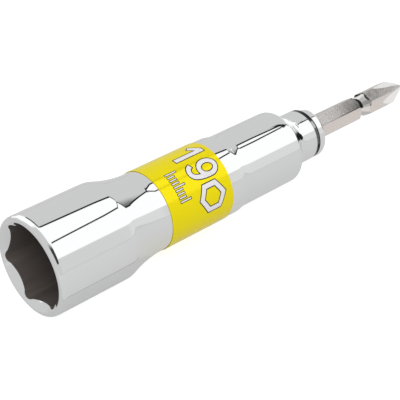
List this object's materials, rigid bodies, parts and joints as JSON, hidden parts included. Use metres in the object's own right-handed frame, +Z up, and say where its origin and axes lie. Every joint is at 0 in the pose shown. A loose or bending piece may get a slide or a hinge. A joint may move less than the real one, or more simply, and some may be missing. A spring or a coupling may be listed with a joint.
{
  "type": "double-ended socket bit",
  "caption": "Long chromed hexagon socket with a yellow size label, a ball and ring detent in its neck, and a removable double-ended cross-point driver bit.",
  "frame": {"origin": "centre of the nut mouth, on the axis, in the plane of the mouth's lip", "axes": "+X along the axis from the nut mouth to the outer bit tip, +Z up with the tool lying on its side; angles round the axis are counted from +Y towards +Z"},
  "size_m": [0.1322, 0.0256, 0.0256],
  "materials": {
    "body_chrome": "mirror-bright plating",
    "label_film": "glossy printed film",
    "ring_steel": "dark spring steel",
    "ball_steel": "polished",
    "bit_steel": "satin"
  },
  "bodies": {
    "socket": {"socket_body": "body_chrome", "size_label": "label_film", "retaining_ring": "ring_steel"},
    "ball": {"detent_ball": "ball_steel"},
    "bit": {"double_end_bit": "bit_steel"}
  },
  "joints": [
    {"name": "bit_pull", "type": "slide", "parent": "socket", "child": "bit", "axis": [1, 0, 0], "range_m": [0, 0.03], "deforming": ["retaining_ring", "detent_ball"]},
    {"name": "ball_lift", "type": "slide", "parent": "socket", "child": "ball", "axis": [0, 0.4384, -0.8988], "range_m": [0, 0.00072], "stiffness_N_per_m": 8000, "deforming": ["retaining_ring"]}
  ]
}
